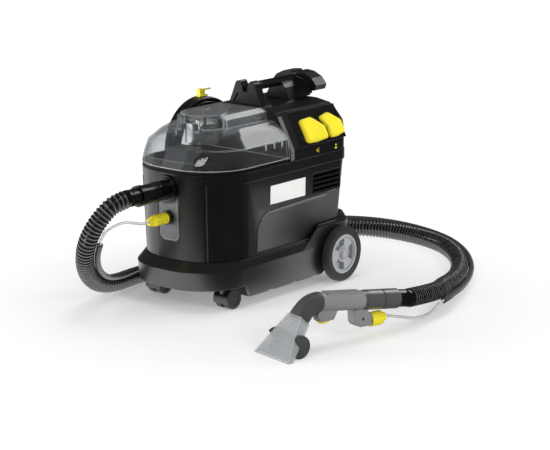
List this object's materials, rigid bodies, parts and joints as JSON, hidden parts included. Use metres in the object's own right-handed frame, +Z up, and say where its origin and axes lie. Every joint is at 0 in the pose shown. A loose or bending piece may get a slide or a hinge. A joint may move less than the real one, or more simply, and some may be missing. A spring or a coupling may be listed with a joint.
{
  "type": "spot extractor",
  "caption": "Wheeled spot extractor for upholstery: clear-lidded tank, yellow switches, carrying handle, ribbed suction hose, spray tube and clear-nozzled hand tool.",
  "frame": {"origin": "on the floor, under the middle of the box round the machine and its hand tool", "axes": "+Z up, the machine's front faces -Y, its pedals and the hand tool are on the +X side"},
  "size_m": [0.7181, 1.0312, 0.462],
  "materials": {
    "chassis_plastic": "satin moulded charcoal plastic with a fine grain",
    "dark_plastic": "matt black moulded plastic",
    "body_plastic": "satin black moulded plastic",
    "gloss_black": "glossy black plastic",
    "grey_panel": "smooth mid-grey plastic",
    "grey_plastic": "mid-grey plastic",
    "bare_plate": "bare white plate",
    "tank_plastic": "translucent grey tank plastic",
    "clear_plastic": "clear polished plastic",
    "clear_tube": "clear flexible tube",
    "bright_metal": "bright polished cup",
    "white_plastic": "white plastic",
    "yellow_plastic": "bright yellow plastic",
    "motor_metal": "cast metal",
    "steel": "plain steel",
    "hub_plastic": "light grey plastic",
    "tyre_rubber": "black rubber tread",
    "black_rubber": "soft black rubber",
    "cord_rubber": "black rubber cord sheath",
    "hose_plastic": "glossy black ribbed hose",
    "sleeve_plastic": "dark grey smooth sleeve",
    "tool_grey": "mid-grey fine-grained plastic",
    "tool_dark": "dark grey fine-grained plastic"
  },
  "bodies": {
    "machine": {"chassis": "chassis_plastic", "bottom_plate": "dark_plastic", "body_shell": "body_plastic", "front_panel": "grey_panel", "label_plate": "bare_plate", "vent_grille_right": "dark_plastic", "vent_grille_left": "dark_plastic", "fresh_water_tank": "tank_plastic", "motor_housing": "body_plastic", "control_panel": "gloss_black", "suction_motor": "motor_metal", "spray_pump": "grey_plastic", "carry_handle": "body_plastic", "suction_port": "gloss_black", "spray_socket": "gloss_black", "spray_coupling": "yellow_plastic", "cord_hook": "body_plastic", "cord_gland": "black_rubber", "rear_axle": "steel", "machine_cuff": "gloss_black", "suction_hose": "hose_plastic", "hose_sleeve": "sleeve_plastic", "tool_cuff": "gloss_black", "spray_tube_machine": "clear_tube", "spray_tube_tool": "clear_tube", "power_cord_coil": "cord_rubber", "power_cord_lead": "cord_rubber", "power_cord_tail": "cord_rubber", "power_plug": "cord_rubber", "cord_clip": "yellow_plastic", "handle_shell": "tool_grey", "bend_cover": "tool_dark", "nozzle_body": "tool_dark", "nozzle_window": "clear_plastic", "spray_jet": "yellow_plastic", "valve_block": "tool_grey", "coupling_nut": "yellow_plastic", "tool_screw": "steel"},
    "dirty_tank": {"dirty_water_tank": "dark_plastic", "intake_duct": "grey_plastic", "rim_seal": "black_rubber"},
    "lid": {"tank_lid": "clear_plastic", "float_cage": "bright_metal"},
    "float": {"float_ball": "white_plastic"},
    "release_button": {"lid_release": "grey_plastic"},
    "spray_switch": {"spray_pedal": "yellow_plastic"},
    "suction_switch": {"suction_pedal": "yellow_plastic"},
    "fan": {"fan_rotor": "motor_metal"},
    "wheel_right": {"wheel_hub_right": "hub_plastic", "wheel_tyre_right": "tyre_rubber"},
    "wheel_left": {"wheel_hub_left": "hub_plastic", "wheel_tyre_left": "tyre_rubber"},
    "caster_right": {"caster_hood_right": "gloss_black", "caster_axle_right": "steel"},
    "caster_left": {"caster_hood_left": "gloss_black", "caster_axle_left": "steel"},
    "caster_right_rollers": {"caster_wheels_right": "hub_plastic"},
    "caster_left_rollers": {"caster_wheels_left": "hub_plastic"},
    "trigger": {"spray_trigger": "yellow_plastic"}
  },
  "joints": [
    {"name": "tank_lift", "type": "slide", "parent": "machine", "child": "dirty_tank", "axis": [0, 0, 1], "range_m": [0, 0.12]},
    {"name": "lid_lift", "type": "slide", "parent": "dirty_tank", "child": "lid", "axis": [0, 0, 1], "range_m": [0, 0.1]},
    {"name": "float_rise", "type": "slide", "parent": "lid", "child": "float", "axis": [0, 0, 1], "range_m": [0, 0.015]},
    {"name": "release_press", "type": "slide", "parent": "machine", "child": "release_button", "axis": [0, 0, -1], "range_m": [0, 0.0025], "stiffness_N_per_m": 900, "springref_m": -0.002},
    {"name": "spray_press", "type": "slide", "parent": "machine", "child": "spray_switch", "axis": [-0.8805, 0, -0.4741], "range_m": [0, 0.004], "stiffness_N_per_m": 1500, "springref_m": -0.002},
    {"name": "suction_press", "type": "slide", "parent": "machine", "child": "suction_switch", "axis": [-0.8805, 0, -0.4741], "range_m": [0, 0.004], "stiffness_N_per_m": 1500, "springref_m": -0.002},
    {"name": "fan_spin", "type": "hinge", "parent": "machine", "child": "fan", "pos_m": [-0.148, 0.188, 0.32], "axis": [0, 0, 1], "continuous": true},
    {"name": "wheel_right_spin", "type": "hinge", "parent": "machine", "child": "wheel_right", "pos_m": [-0.002, 0.252, 0.063], "axis": [1, 0, 0], "continuous": true},
    {"name": "wheel_left_spin", "type": "hinge", "parent": "machine", "child": "wheel_left", "pos_m": [-0.294, 0.252, 0.063], "axis": [1, 0, 0], "continuous": true},
    {"name": "caster_right_swivel", "type": "hinge", "parent": "machine", "child": "caster_right", "pos_m": [-0.049, -0.098, 0.06], "axis": [0, 0, 1], "continuous": true},
    {"name": "caster_right_roll", "type": "hinge", "parent": "caster_right", "child": "caster_right_rollers", "pos_m": [-0.049, -0.084, 0.023], "axis": [1, 0, 0], "continuous": true},
    {"name": "caster_left_swivel", "type": "hinge", "parent": "machine", "child": "caster_left", "pos_m": [-0.247, -0.098, 0.06], "axis": [0, 0, 1], "continuous": true},
    {"name": "caster_left_roll", "type": "hinge", "parent": "caster_left", "child": "caster_left_rollers", "pos_m": [-0.247, -0.084, 0.023], "axis": [1, 0, 0], "continuous": true},
    {"name": "trigger_pull", "type": "hinge", "parent": "machine", "child": "trigger", "pos_m": [0.29049, -0.16559, 0.059], "axis": [-0.9744, 0.225, 0], "range_deg": [0, 8], "stiffness_Nm_per_rad": 0.2, "springref_deg": -11.46}
  ]
}
